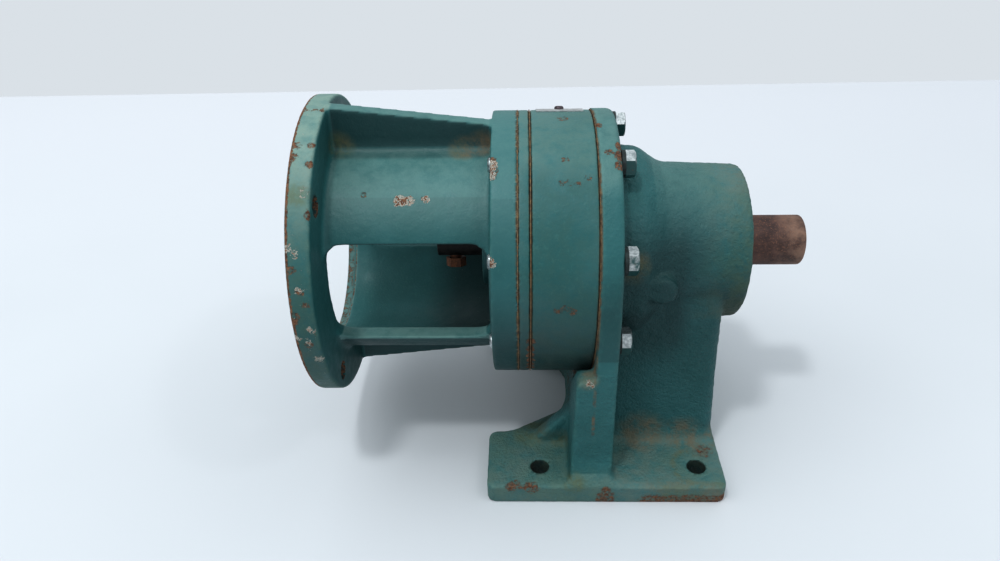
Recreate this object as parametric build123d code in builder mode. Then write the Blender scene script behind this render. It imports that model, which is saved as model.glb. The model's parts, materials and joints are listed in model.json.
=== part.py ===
"""Foot-mounted inline cycloidal gear reducer with a C-face motor adapter.

Axes: +X runs along the shafts towards the output end, +Z is up.  The origin is
the centre of the four foot bolt holes on the underside of the feet.  Units: mm.
"""
import math
import os

from build123d import *

os.makedirs("parts", exist_ok=True)

# ---- driving dimensions -----------------------------------------------------
axis_height = 120.0          # shaft centre line above the underside of the feet

gasket_thickness = 0.5
spigot_length = 2.5          # centring rims of the casing and the end shield

# axial stations, from the motor face to the output shaft end
x_motor_face = -169.2        # machined face that meets the motor
x_motor_flange = -156.5      # back of the motor flange
x_rear_flange = -70.7        # motor side of the adapter rear flange
x_adapter_end = -57.2        # adapter joint face
x_shield = x_adapter_end + gasket_thickness            # motor side of the end shield plate
x_shield_end = -50.7         # gear side of the end shield plate
x_ring = x_shield_end + gasket_thickness               # motor side of the ring gear housing
x_ring_end = -16.5           # output side of the ring gear housing
x_casing = x_ring_end + gasket_thickness               # casing joint face
x_casing_flange = -4.2       # output side of the casing flange
x_barrel_end = 67.4          # output end of the casing barrel
x_shaft_end = 104.6          # end of the output shaft

# radii of the outer shells
r_motor_flange = 84.6
r_adapter_barrel = 60.2
r_adapter_bore = 52.0
r_ring = 74.5                # adapter rear flange, end shield and ring housing
r_casing_flange = 75.3
r_neck = 54.5
r_barrel = 43.5
r_spigot = 51.8
r_gasket_bore = 56.4

# motor face
r_pilot = 57.15
pilot_depth = 6.0
r_motor_bolt_circle = 74.6
r_motor_bolt_hole = 5.5

# side windows and ribs of the adapter
x_window, x_window_end = -156.2, -72.0
window_height = 59.0
window_corner = 9.5
rib_half_width = 4.0
rib_foot = 4.5               # fillet between a rib and the barrel

# joint bolts, eight M8 hexagon screws
bolt_count = 8
r_bolt_circle = 66.2
r_bolt = 4.0
r_bolt_clearance = 4.5
bolt_length = 70.0
bolt_head_height = 5.3
bolt_across_flats = 13.0
washer_thickness = 2.0
washer_radius = 7.2

# feet
foot_length_left = -75.0
foot_length_right = 60.0
foot_half_width = 90.0
foot_thickness = 13.0
foot_hole_dx = 45.0
foot_hole_dy = 75.0
r_foot_hole = 5.5
pad_inner = 46.0             # half of the gap between the feet
leg_top = axis_height + 2.0  # the leg plate ends inside the joint flange
ledge_height = 80.2          # wide top edge of the leg plate, below the ring gear housing
leg_clearance = 78.0         # radius that the leg plate keeps from the shafts
gusset_width = 9.6
gusset_height = 41.5
pocket_height = 96.0         # top of the cored hollow in the pedestal
boss_place = (19.4, -54.0, 120.2)
r_boss = 7.9

# blank rating plate on the ring gear housing
x_plate_mid = -33.8
plate_width = 25.8
plate_thickness = 0.6
plate_start_angle = 14.0     # degrees up from +Y
plate_arc = 64.0
plate_screw_angles = (110.5, 156.0)
r_plate_screw = 1.0
r_plate_screw_head = 2.6
screw_root = 4.0             # depth of the screw holes below the ring surface

# cycloid stage
ring_pin_count = 18
lobe_count = ring_pin_count - 1
r_ring_pin_circle = 52.0
r_ring_pin = 4.0
eccentricity = 1.6
mesh_clearance = 0.3
disc_thickness = 11.0
x_disc_a = -43.5             # motor side of the first disc
x_disc_b = -30.5             # motor side of the second disc
drive_pin_count = 8
r_drive_pin_circle = 31.0
r_drive_pin = 4.0
r_drive_roller = 6.0
r_cam = 11.0
r_cam_roller = 2.2
r_cam_roller_circle = 13.5
r_disc_bore = 16.0
cam_roller_count = 12
cage_half_width = 1.0

# shafts
r_output = 14.2875
r_output_seat = 15.0
r_output_rear_seat = 17.5
r_input = 8.0
r_input_seat = 8.5
r_pilot_seat = 6.0
x_input_end = -103.5
x_pin_flange = -13.0         # motor side of the drive pin flange
r_pin_flange = 40.0

# keys: station of the middle, length, width; key_depth is the seat in the input shaft
x_output_keyway, output_keyway_length, output_keyway_width = 90.0, 38.0, 6.35
output_keyway_depth = 3.2
x_input_key, input_key_length, input_key_width, input_key_height = -90.5, 23.0, 5.0, 5.0
x_cam_key, cam_key_length, cam_key_width, cam_key_height = -30.5, 24.0, 4.0, 3.4
key_depth = 2.9

# clamp screw across the input shaft end
x_clamp_screw = -93.2
clamp_lean = 0.35            # radians from straight down
r_clamp_screw = 3.0
clamp_head_reach = 9.0       # from the shaft centre to the underside of the head
clamp_head_height = 5.2
clamp_across_flats = 10.0

# bearings: motor-side station, width, outer radius, ball radius, ball count
rear_bearing = (8.0, 17.0, 36.0, 5.2, 9)
front_bearing = (40.0, 16.0, 31.0, 4.6, 9)
input_bearing = (-66.7, 10.0, 17.5, 2.4, 10)
pilot_bearing = (x_pin_flange, 6.0, 12.0, 1.6, 10)

# seals: inner face, outer face, bore radius
output_seal = (58.0, 65.2, 26.0)
input_seal = (-69.4, -76.4, 17.5)

spin = Axis((0, 0, axis_height), (1, 0, 0))
axial = Plane(origin=(0, 0, axis_height), x_dir=(1, 0, 0), z_dir=(0, -1, 0))
side = Plane(origin=(0, 0, 0), x_dir=(1, 0, 0), z_dir=(0, -1, 0))


def across(x, y=0.0, z=0.0):
    """Plane square to the shafts at station x; local x is +Y, local y is +Z."""
    return Plane(origin=(x, y, axis_height + z), x_dir=(0, 1, 0), z_dir=(1, 0, 0))


def facing_out(turn, radius):
    """Plane at mid ring housing that faces away from the shafts, turn degrees from -Y over +Z."""
    out = Vector(0, -math.cos(math.radians(turn)), math.sin(math.radians(turn)))
    return Plane(origin=Vector(x_plate_mid, 0, axis_height) + out * radius, x_dir=(1, 0, 0), z_dir=out)


def rounded(points):
    """Closed outline of straight runs; a third number rounds that corner."""
    pts = [(p[0], p[1], p[2] if len(p) > 2 else 0.0) for p in points]
    runs = []
    for i, (x, y, r) in enumerate(pts):
        if r == 0:
            runs.append(((x, y), None, (x, y)))
            continue
        ax, ay = pts[i - 1][0] - x, pts[i - 1][1] - y
        bx, by = pts[(i + 1) % len(pts)][0] - x, pts[(i + 1) % len(pts)][1] - y
        la, lb = math.hypot(ax, ay), math.hypot(bx, by)
        ax, ay, bx, by = ax / la, ay / la, bx / lb, by / lb
        half = math.acos(max(-1.0, min(1.0, ax * bx + ay * by))) / 2
        cut = r / math.tan(half)
        mx, my = ax + bx, ay + by
        lm = math.hypot(mx, my)
        reach = r / math.sin(half) - r
        runs.append(((x + ax * cut, y + ay * cut), (x + mx / lm * reach, y + my / lm * reach),
                     (x + bx * cut, y + by * cut)))
    for i, (start, mid, end) in enumerate(runs):
        if mid is not None:
            ThreePointArc(start, mid, end)
        nxt = runs[(i + 1) % len(runs)][0]
        if math.dist(end, nxt) > 1e-6:
            Line(end, nxt)


def turned(profile):
    """Solid turned about the shaft axis from an (x, radius) outline."""
    with BuildPart() as body:
        with BuildSketch(axial):
            with BuildLine():
                rounded(profile)
            make_face()
        revolve(axis=spin)
    return body


def tube(x0, x1, r_in, r_out):
    """Plain ring between two stations."""
    return turned([(x0, r_in), (x0, r_out), (x1, r_out), (x1, r_in)])


def save(body, name):
    body.part.label = name
    export_step(body.part, "parts/" + name + ".step")


bolt_angles = dict(start_angle=22.5, count=bolt_count)

# ---- feet, leg plate and hollow pedestal of the casing -----------------------
# edge of the waisted gap between the gear-side feet, from the +Y foot to the -Y foot
waist = [(-61.0, 45.0, 16.0), (-31.0, 27.0, 9.0), (-25.5, 14.0, 9.0)]
waist += [(x, -y, corner) for x, y, corner in reversed(waist)]

with BuildPart() as feet:
    # leg plate below the joint flange: side view, then front view
    with BuildSketch(side):
        with BuildLine():
            rounded([(-50.0, 0), (-50.0, foot_thickness), (-28.2, foot_thickness, 3.5),
                     (-26.0, ledge_height - 0.7, 4.0), (x_casing, ledge_height, 2.5), (x_casing, leg_top),
                     (x_casing_flange, leg_top), (x_casing_flange, foot_thickness, 4.5),
                     (20.0, foot_thickness), (20.0, 0)])
        make_face()
    extrude(amount=foot_half_width + 5, both=True)
    with BuildSketch(across(0, 0, -axis_height)):
        with BuildLine():
            rounded([(-foot_half_width, 0), (-foot_half_width, foot_thickness - 1.5, 2.0),
                     (-82.2, 27.0, 16.0), (-76.6, 92.0, 40.0), (0.1 - r_casing_flange, leg_top),
                     (r_casing_flange - 0.1, leg_top), (76.6, 92.0, 40.0), (82.2, 27.0, 16.0),
                     (foot_half_width, foot_thickness - 1.5, 2.0), (foot_half_width, 0)])
        make_face()
    extrude(amount=60, both=True, mode=Mode.INTERSECT)
    with BuildSketch(across(-40)):
        Circle(leg_clearance)
    extrude(amount=40 + x_casing, mode=Mode.SUBTRACT)
    # thinner web between the gussets
    with BuildSketch(side):
        with BuildLine():
            rounded([(-40.0, 16.0), (-28.0, 16.0), (-24.8, 20.0, 3.0), (-24.4, 84.0), (-40.0, 84.0)])
        make_face()
    extrude(amount=45.0, both=True, mode=Mode.SUBTRACT)
    with BuildSketch(Plane.XY):
        with BuildLine():
            rounded([waist[0][:2]] + waist[1:-1] + [waist[-1][:2]])
        make_face()
    extrude(amount=16.0, mode=Mode.SUBTRACT)
    # pedestal under the barrel, drafted on the sides and the output end
    with BuildPart(mode=Mode.PRIVATE) as pedestal:
        with BuildSketch(side):
            with BuildLine():
                rounded([(-10.0, 0), (59.2, 0), (55.6, 106.0), (46.0, axis_height),
                         (-10.0, axis_height)])
            make_face()
        extrude(amount=60, both=True)
        with BuildSketch(across(0, 0, -axis_height)):
            with BuildLine():
                rounded([(-58.0, 0), (-58.0, foot_thickness), (-46.8, foot_thickness, 6.0),
                         (-43.2, axis_height), (43.2, axis_height),
                         (46.8, foot_thickness, 6.0), (58.0, foot_thickness), (58.0, 0)])
            make_face()
        extrude(amount=80, both=True, mode=Mode.INTERSECT)
        fillet(pedestal.edges().filter_by(
            lambda e: e.center().X > 50 and abs(e.center().Y) > 40 and e.length > 60), radius=6.0)
    add(pedestal.part)
    # feet, with a waisted gap on the gear side
    with BuildSketch(Plane.XY):
        with BuildLine():
            rounded([(foot_length_left, -foot_half_width, 3.5), (foot_length_right, -foot_half_width, 3.5),
                     (foot_length_right, foot_half_width, 3.5), (foot_length_left, foot_half_width, 3.5),
                     (foot_length_left, pad_inner, 5.0)] + waist + [(foot_length_left, -pad_inner, 5.0)])
        make_face()
    extrude(amount=foot_thickness)
    # gusset between each gear-side foot and the leg plate
    for edge in (pad_inner, -pad_inner - gusset_width):
        with BuildSketch(side.offset(edge)):
            with BuildLine():
                rounded([(-20.0, 6.0), (-56.0, 6.0), (-56.0, 12.6), (-48.5, 13.6, 8.0),
                         (-24.5, gusset_height), (-20.0, gusset_height)])
            make_face()
        extrude(amount=gusset_width)
    # cored pocket under the pedestal; it also clears the two lowest joint bolts
    with BuildPart(mode=Mode.PRIVATE) as core:
        with BuildSketch(side):
            with BuildLine():
                rounded([(x_casing_flange, -1), (50.5, -1), (44.5, pocket_height, 8.0),
                         (x_casing_flange, pocket_height)])
            make_face()
        extrude(amount=60, both=True)
        with BuildSketch(across(0, 0, -axis_height)):
            with BuildLine():
                rounded([(-38.6, -1), (-36.0, pocket_height, 10.0), (36.0, pocket_height, 10.0), (38.6, -1)])
            make_face()
        extrude(amount=80, both=True, mode=Mode.INTERSECT)
    add(core.part, mode=Mode.SUBTRACT)

# ---- casing: joint flange, neck and bearing barrel on the feet ---------------
rear_end = rear_bearing[0] + rear_bearing[1]
front_end = front_bearing[0] + front_bearing[1]
with BuildPart() as casing:
    with BuildSketch(axial):
        with BuildLine():
            rounded([(x_casing - spigot_length, 47.0), (x_casing - spigot_length, r_spigot),
                     (x_casing, r_spigot), (x_casing, r_casing_flange),
                     (x_casing_flange, r_casing_flange, 3.0),
                     (x_casing_flange, r_neck + 0.6, 2.2), (9.0, r_neck, 6.0), (22.5, 45.4, 5.0),
                     (x_barrel_end, r_barrel, 3.2), (x_barrel_end, 20.0), (x_casing - spigot_length, 20.0)])
        make_face()
    revolve(axis=spin)
    add(feet.part)
    # blind round boss on the side of the neck
    with BuildSketch(Plane(origin=boss_place, x_dir=(1, 0, 0), z_dir=(0, -1, 0))):
        Circle(r_boss)
    extrude(amount=-16)
    # hollow above the leg for the pin flange, bearing bores and seal bore
    with BuildSketch(axial):
        with BuildLine():
            rounded([(x_casing - 3.0, 0), (x_casing - 3.0, 47.0), (3.5, 47.0, 3.0), (7.0, 41.0),
                     (7.0, rear_bearing[2]), (rear_end, rear_bearing[2]), (rear_end, 33.0),
                     (front_bearing[0], 33.0), (front_bearing[0], front_bearing[2]),
                     (front_end, front_bearing[2]), (front_end, 24.0), (output_seal[0], 24.0),
                     (output_seal[0], output_seal[2]), (x_barrel_end + 1, output_seal[2]),
                     (x_barrel_end + 1, 0)])
        make_face()
    revolve(axis=spin, mode=Mode.SUBTRACT)
    with BuildSketch(Plane.XY):
        with GridLocations(2 * foot_hole_dx, 2 * foot_hole_dy, 2, 2):
            Circle(r_foot_hole)
    extrude(amount=foot_thickness + 0.5, mode=Mode.SUBTRACT)
    with BuildSketch(across(x_casing)):
        with PolarLocations(r_bolt_circle, **bolt_angles):
            Circle(r_bolt_clearance)
    extrude(amount=x_casing_flange - x_casing + 0.5, mode=Mode.SUBTRACT)
save(casing, "casing")

# ---- ring gear housing with a pocket for every ring gear pin ----------------
with BuildPart() as ring_housing:
    with BuildSketch(across(x_ring)):
        Circle(r_ring)
        Circle(r_ring_pin_circle, mode=Mode.SUBTRACT)
        with PolarLocations(r_bolt_circle, **bolt_angles):
            Circle(r_bolt_clearance, mode=Mode.SUBTRACT)
        with PolarLocations(r_ring_pin_circle, ring_pin_count):
            Circle(r_ring_pin, mode=Mode.SUBTRACT)
    extrude(amount=x_ring_end - x_ring)
    fillet(ring_housing.edges().filter_by(GeomType.CIRCLE).filter_by(
        lambda e: abs(e.radius - r_ring) < 0.01), radius=0.6)
    # pilot holes for the two nameplate screws
    for turn in plate_screw_angles:
        with BuildSketch(facing_out(turn, r_ring - screw_root)):
            Circle(r_plate_screw + 0.1)
        extrude(amount=screw_root + 2, mode=Mode.SUBTRACT)
save(ring_housing, "ring_gear_housing")

# ---- ring gear pins, held between the two spigots ---------------------------
x_pins, x_pins_end = x_shield_end + spigot_length + 0.1, x_casing - spigot_length - 0.1
with BuildPart() as ring_pins:
    with BuildSketch(across(x_pins)):
        with PolarLocations(r_ring_pin_circle, ring_pin_count):
            Circle(r_ring_pin)
    extrude(amount=x_pins_end - x_pins)
save(ring_pins, "ring_gear_pins")

# ---- end shield: plate, spigot and the bearing hub inside the adapter -------
with BuildPart() as end_shield:
    with BuildSketch(axial):
        with BuildLine():
            rounded([(-77.0, input_bearing[2]), (-77.0, 25.0, 1.5), (x_shield, 26.5, 3.0),
                     (x_shield, r_ring), (x_shield_end, r_ring), (x_shield_end, r_spigot),
                     (x_shield_end + spigot_length, r_spigot), (x_shield_end + spigot_length, 30.0),
                     (x_shield_end, 28.0), (x_shield_end, 12.5), (x_shield, 12.5),
                     (x_shield, input_bearing[2])])
        make_face()
    revolve(axis=spin)
    with BuildSketch(across(x_shield)):
        with PolarLocations(r_bolt_circle, **bolt_angles):
            Circle(r_bolt_clearance)
    extrude(amount=x_shield_end - x_shield, mode=Mode.SUBTRACT)
save(end_shield, "end_shield")

# ---- motor adapter: C-face flange, windowed barrel, two ribs, rear flange ---
rib_root = r_adapter_barrel - 4.2
rib_high, rib_low = r_motor_flange - 0.1, r_ring - 0.2
with BuildPart() as adapter:
    with BuildSketch(axial):
        with BuildLine():
            rounded([(x_motor_face, r_pilot), (x_motor_face, r_motor_flange, 1.0),
                     (x_motor_flange, r_motor_flange, 1.2), (x_motor_flange, r_adapter_barrel, 3.0),
                     (x_rear_flange, r_adapter_barrel, 2.0), (x_rear_flange, r_ring, 0.8),
                     (x_adapter_end, r_ring, 0.5), (x_adapter_end, r_adapter_bore),
                     (x_motor_face + pilot_depth, r_adapter_bore),
                     (x_motor_face + pilot_depth, r_pilot)])
        make_face()
    revolve(axis=spin)
    for up in (1, -1):
        with BuildPart(mode=Mode.PRIVATE) as rib:
            with BuildSketch(axial):
                with BuildLine():
                    rounded([(x_motor_flange - 2, up * rib_root), (x_motor_flange - 2, up * rib_high),
                             (x_motor_flange, up * rib_high), (x_rear_flange, up * rib_low),
                             (x_rear_flange + 2, up * rib_low), (x_rear_flange + 2, up * rib_root)])
                make_face()
            extrude(amount=20, both=True)
            with BuildSketch(across(x_motor_flange - 3)):
                with BuildLine():
                    rounded([(-13, up * rib_root), (-9.5, up * 59.3),
                             (-rib_half_width, up * r_adapter_barrel, rib_foot),
                             (-rib_half_width, up * 90.0), (rib_half_width, up * 90.0),
                             (rib_half_width, up * r_adapter_barrel, rib_foot),
                             (9.5, up * 59.3), (13, up * rib_root)])
                make_face()
            extrude(amount=95, mode=Mode.INTERSECT)
        add(rib.part)
    with BuildSketch(axial):
        with Locations(((x_window + x_window_end) / 2, 0)):
            RectangleRounded(x_window_end - x_window, window_height, window_corner)
    extrude(amount=70, both=True, mode=Mode.SUBTRACT)
    with BuildSketch(across(x_motor_face)):
        with PolarLocations(r_motor_bolt_circle, 4, start_angle=45):
            Circle(r_motor_bolt_hole)
    extrude(amount=x_motor_flange - x_motor_face + 0.5, mode=Mode.SUBTRACT)
    with BuildSketch(across(x_rear_flange - 0.5)):
        with PolarLocations(r_bolt_circle, **bolt_angles):
            Circle(r_bolt)
    extrude(amount=x_adapter_end - x_rear_flange + 1, mode=Mode.SUBTRACT)
save(adapter, "motor_adapter")

# ---- joint bolts and their spring washers -----------------------------------
with BuildPart() as bolts:
    with BuildSketch(across(x_casing_flange + washer_thickness)):
        with PolarLocations(r_bolt_circle, **bolt_angles):
            RegularPolygon(bolt_across_flats / 2, 6, major_radius=False, rotation=30)
    extrude(amount=bolt_head_height)
    with BuildSketch(across(x_casing_flange + washer_thickness)):
        with PolarLocations(r_bolt_circle, **bolt_angles):
            Circle(r_bolt)
    extrude(amount=-bolt_length)
    chamfer(bolts.faces().sort_by(Axis.X)[:bolt_count].edges(), length=0.8)
    with BuildPart(mode=Mode.PRIVATE) as crowns:
        for k in range(bolt_count):
            turn = math.radians(22.5 + 360 / bolt_count * k)
            spot = (r_bolt_circle * math.cos(turn), r_bolt_circle * math.sin(turn))
            with BuildSketch(Plane(origin=(0, spot[0], axis_height + spot[1]), x_dir=(1, 0, 0),
                                   z_dir=(0, -1, 0))):
                with BuildLine():
                    Polyline((-80.0, 0), (-80.0, 7.8), (1.9, 7.8), (3.1, 6.2), (3.1, 0), close=True)
                make_face()
            revolve(axis=Axis((0, spot[0], axis_height + spot[1]), (1, 0, 0)))
    add(crowns.part, mode=Mode.INTERSECT)
save(bolts, "joint_bolts")

with BuildPart() as washers:
    with BuildSketch(across(x_casing_flange)):
        with PolarLocations(r_bolt_circle, **bolt_angles):
            Circle(washer_radius)
            Circle(r_bolt + 0.15, mode=Mode.SUBTRACT)
            with Locations((0, 5.6)):
                Rectangle(1.1, 4.2, rotation=20, mode=Mode.SUBTRACT)
    extrude(amount=washer_thickness)
save(washers, "spring_washers")

# ---- joint gaskets, squeezed a little out of the joints ---------------------
with BuildPart() as gaskets:
    for x0 in (x_shield_end, x_ring_end):
        with BuildSketch(across(x0)):
            Circle(r_ring + 0.3)
            Circle(r_gasket_bore, mode=Mode.SUBTRACT)
            with PolarLocations(r_bolt_circle, **bolt_angles):
                Circle(r_bolt_clearance, mode=Mode.SUBTRACT)
        extrude(amount=gasket_thickness)
save(gaskets, "ring_housing_gaskets")

with BuildPart() as adapter_gasket:
    with BuildSketch(across(x_adapter_end)):
        Circle(r_ring + 0.2)
        Circle(r_adapter_bore, mode=Mode.SUBTRACT)
        with PolarLocations(r_bolt_circle, **bolt_angles):
            Circle(r_bolt_clearance, mode=Mode.SUBTRACT)
    extrude(amount=gasket_thickness)
save(adapter_gasket, "adapter_gasket")

# ---- blank rating plate and its drive screws --------------------------------
with BuildPart() as plate:
    with BuildSketch(across(x_plate_mid - plate_width / 2)):
        with BuildLine():
            arc_in = CenterArc((0, 0), r_ring, plate_start_angle, plate_arc)
            arc_out = CenterArc((0, 0), r_ring + plate_thickness, plate_start_angle, plate_arc)
            Line(arc_in @ 0, arc_out @ 0)
            Line(arc_in @ 1, arc_out @ 1)
        make_face()
    extrude(amount=plate_width)
    for turn in plate_screw_angles:
        with BuildSketch(facing_out(turn, r_ring - screw_root)):
            Circle(r_plate_screw + 0.2)
        extrude(amount=2 * screw_root, mode=Mode.SUBTRACT)
save(plate, "nameplate")

with BuildPart() as plate_screws:
    for turn in plate_screw_angles:
        seat = facing_out(turn, r_ring)
        with BuildSketch(seat.offset(0.4 - screw_root)):
            Circle(r_plate_screw)
        extrude(amount=screw_root + 0.4)
        with BuildSketch(seat.offset(plate_thickness + 0.02)):
            Circle(r_plate_screw_head)
        extrude(amount=1.5)
        fillet(plate_screws.faces().sort_by(Axis(seat.origin, seat.z_dir))[-1].edges(), radius=1.3)
save(plate_screws, "nameplate_screws")

# ---- output shaft with its pin flange ---------------------------------------
x_drive_pins, x_drive_pins_end = -46.2, -4.0
with BuildPart() as output_shaft:
    with BuildSketch(axial):
        with BuildLine():
            rounded([(x_pin_flange, pilot_bearing[2]), (x_pin_flange, r_pin_flange, 1.5),
                     (-3.0, r_pin_flange, 1.5), (1.0, 22.0, 2.0), (rear_bearing[0], 22.0),
                     (rear_bearing[0], r_output_rear_seat), (front_bearing[0], r_output_rear_seat),
                     (front_bearing[0], r_output_seat), (x_barrel_end, r_output_seat),
                     (x_barrel_end + 0.8, r_output), (x_shaft_end, r_output, 1.6),
                     (x_shaft_end, 3.2), (x_shaft_end - 6.0, 0), (-2.0, 0), (-2.0, 9.0),
                     (-6.5, 9.0), (-6.5, pilot_bearing[2])])
        make_face()
    revolve(axis=spin)
    with BuildSketch(across(x_pin_flange - 0.5)):
        with PolarLocations(r_drive_pin_circle, drive_pin_count):
            Circle(r_drive_pin)
    extrude(amount=x_drive_pins_end - x_pin_flange + 0.5, mode=Mode.SUBTRACT)
    # keyway in the +Y side, open at the shaft end
    with BuildSketch(Plane(origin=(0, r_output - output_keyway_depth, axis_height), x_dir=(1, 0, 0),
                           z_dir=(0, 1, 0))):
        with Locations((x_output_keyway, 0)):
            SlotOverall(output_keyway_length, output_keyway_width)
    extrude(amount=6, mode=Mode.SUBTRACT)
save(output_shaft, "output_shaft")

with BuildPart() as drive_pins:
    with BuildSketch(across(x_drive_pins)):
        with PolarLocations(r_drive_pin_circle, drive_pin_count):
            Circle(r_drive_pin)
    extrude(amount=x_drive_pins_end - x_drive_pins)
save(drive_pins, "drive_pins")

with BuildPart() as drive_rollers:
    with BuildSketch(across(x_drive_pins + 0.6)):
        with PolarLocations(r_drive_pin_circle, drive_pin_count):
            Circle(r_drive_roller)
            Circle(r_drive_pin + 0.05, mode=Mode.SUBTRACT)
    extrude(amount=x_pin_flange - x_drive_pins - 1.2)
save(drive_rollers, "drive_pin_rollers")

# ---- cycloid discs ----------------------------------------------------------
flank = r_ring_pin + mesh_clearance
ratio = r_ring_pin_circle / (eccentricity * ring_pin_count)
profile = []
step_count = lobe_count * 16
for i in range(step_count):
    t = 2 * math.pi * i / step_count
    psi = math.atan2(math.sin((1 - ring_pin_count) * t), ratio - math.cos((1 - ring_pin_count) * t))
    profile.append((r_ring_pin_circle * math.cos(t) - flank * math.cos(t + psi)
                    - eccentricity * math.cos(ring_pin_count * t),
                    r_ring_pin_circle * math.sin(t) - flank * math.sin(t + psi)
                    - eccentricity * math.sin(ring_pin_count * t)))


def cycloid_disc(x0, shift, turn):
    """One lobed disc, its centre moved along Y by shift and turned about it."""
    with BuildPart() as disc:
        with BuildSketch(across(x0, shift)):
            with BuildSketch(mode=Mode.PRIVATE) as outline:
                with BuildLine():
                    Spline(*profile, periodic=True)
                make_face()
                Circle(r_disc_bore, mode=Mode.SUBTRACT)
            add(outline.sketch, rotation=turn)
            with PolarLocations(r_drive_pin_circle, drive_pin_count):
                Circle(r_drive_roller + eccentricity + mesh_clearance, mode=Mode.SUBTRACT)
        extrude(amount=disc_thickness)
    return disc


disc_a = cycloid_disc(x_disc_a, -eccentricity, 180.0)
save(disc_a, "cycloid_disc_a")
disc_b = cycloid_disc(x_disc_b, eccentricity, 0.0)
save(disc_b, "cycloid_disc_b")

# ---- input shaft, eccentric and their small parts ---------------------------
x_thrust_washer = -44.5      # shoulder that the thrust washer leans on
key_seat = Plane(origin=(0, 0, axis_height + r_input - key_depth), x_dir=(1, 0, 0), z_dir=(0, 0, 1))
clamp_way = Vector(0, -math.sin(clamp_lean), -math.cos(clamp_lean))
clamp_axis = Plane(origin=(x_clamp_screw, 0, axis_height), x_dir=(1, 0, 0), z_dir=clamp_way)
clamp_down = clamp_axis.offset(clamp_head_reach)

with BuildPart() as input_shaft:
    with BuildSketch(axial):
        with BuildLine():
            rounded([(x_input_end, 0), (x_input_end, r_input, 0.8), (-69.0, r_input),
                     (-69.0, r_input_seat), (-56.2, r_input_seat), (-56.2, 10.5),
                     (x_thrust_washer, 10.5), (x_thrust_washer, r_input), (x_pin_flange - 1, r_input),
                     (x_pin_flange - 1, r_pilot_seat), (-5.0, r_pilot_seat, 0.6), (-5.0, 0)])
        make_face()
    revolve(axis=spin)
    with BuildSketch(key_seat):
        with Locations((x_input_key, 0)):
            SlotOverall(input_key_length, input_key_width)
        with Locations((x_cam_key, 0)):
            Rectangle(cam_key_length, cam_key_width)
    extrude(amount=5, mode=Mode.SUBTRACT)
    # tapped cross hole of the clamp screw
    with BuildSketch(clamp_axis):
        Circle(r_clamp_screw)
    extrude(amount=10, mode=Mode.SUBTRACT)
save(input_shaft, "input_shaft")

with BuildPart() as input_key:
    with BuildSketch(key_seat):
        with Locations((x_input_key, 0)):
            SlotOverall(input_key_length, input_key_width)
    extrude(amount=input_key_height)
save(input_key, "input_key")

with BuildPart() as clamp_screw:
    with BuildSketch(clamp_down):
        RegularPolygon(clamp_across_flats / 2, 6, major_radius=False)
    extrude(amount=clamp_head_height)
    chamfer(clamp_screw.edges().group_by(Axis.Z)[0], length=0.6)
    with BuildSketch(clamp_down):
        Circle(r_clamp_screw)
    extrude(amount=-7.5)
save(clamp_screw, "clamp_screw")

with BuildPart() as cam:
    for x0, shift in ((x_disc_a, -eccentricity), (x_disc_b, eccentricity)):
        with BuildSketch(across(x0 + 0.2, shift)):
            Circle(r_cam)
        extrude(amount=disc_thickness - 0.4)
    with BuildSketch(across(x_disc_a + disc_thickness - 0.6)):
        Circle(r_cam - eccentricity - 0.15)
    extrude(amount=3.2)
    with BuildSketch(across(x_disc_a - 1)):
        Circle(r_input)
        with Locations((0, r_input)):
            Rectangle(cam_key_width, 1.2, mode=Mode.ADD)
    extrude(amount=30, mode=Mode.SUBTRACT)
save(cam, "double_eccentric")

with BuildPart() as cam_key:
    with BuildSketch(key_seat):
        with Locations((x_cam_key, 0)):
            Rectangle(cam_key_length, cam_key_width)
    extrude(amount=cam_key_height)
save(cam_key, "eccentric_key")

with BuildPart() as cam_rollers:
    for x0, shift in ((x_disc_a, -eccentricity), (x_disc_b, eccentricity)):
        with BuildSketch(across(x0 + 1.2, shift)):
            with PolarLocations(r_cam_roller_circle, cam_roller_count):
                Circle(r_cam_roller)
        extrude(amount=disc_thickness - 2.4)
save(cam_rollers, "eccentric_rollers")

with BuildPart() as cam_cages:
    for x0, shift in ((x_disc_a, -eccentricity), (x_disc_b, eccentricity)):
        with BuildSketch(across(x0 + 0.5, shift)):
            Circle(r_cam_roller_circle + cage_half_width)
            Circle(r_cam_roller_circle - cage_half_width, mode=Mode.SUBTRACT)
            with PolarLocations(r_cam_roller_circle, cam_roller_count):
                Circle(r_cam_roller + 0.1, mode=Mode.SUBTRACT)
        extrude(amount=disc_thickness - 1.0)
        for x1 in (x0 + 0.5, x0 + disc_thickness - 1.1):
            with BuildSketch(across(x1, shift)):
                Circle(r_cam_roller_circle + cage_half_width)
                Circle(r_cam_roller_circle - cage_half_width, mode=Mode.SUBTRACT)
            extrude(amount=0.6)
save(cam_cages, "eccentric_cages")


# ---- ball bearings ----------------------------------------------------------
def ball_bearing(r_in, x0, width, r_out, r_ball, count):
    """Inner ring, outer ring and ball set of one deep-groove bearing on a seat of radius r_in."""
    mid, pitch = x0 + width / 2, (r_in + r_out) / 2
    reach = r_ball * 0.42
    rings = []
    for lo, hi in ((r_in, pitch - reach), (pitch + reach, r_out)):
        with BuildPart() as ring:
            with BuildSketch(axial):
                with Locations((mid, (lo + hi) / 2)):
                    Rectangle(width, hi - lo)
                with Locations((mid, pitch)):
                    Circle(r_ball + 0.3, mode=Mode.SUBTRACT)
            revolve(axis=spin)
        rings.append(ring)
    with BuildPart() as balls:
        for k in range(count):
            turn = 2 * math.pi * k / count
            with Locations((mid, pitch * math.cos(turn), axis_height + pitch * math.sin(turn))):
                Sphere(r_ball)
    return rings[0], rings[1], balls


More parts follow.
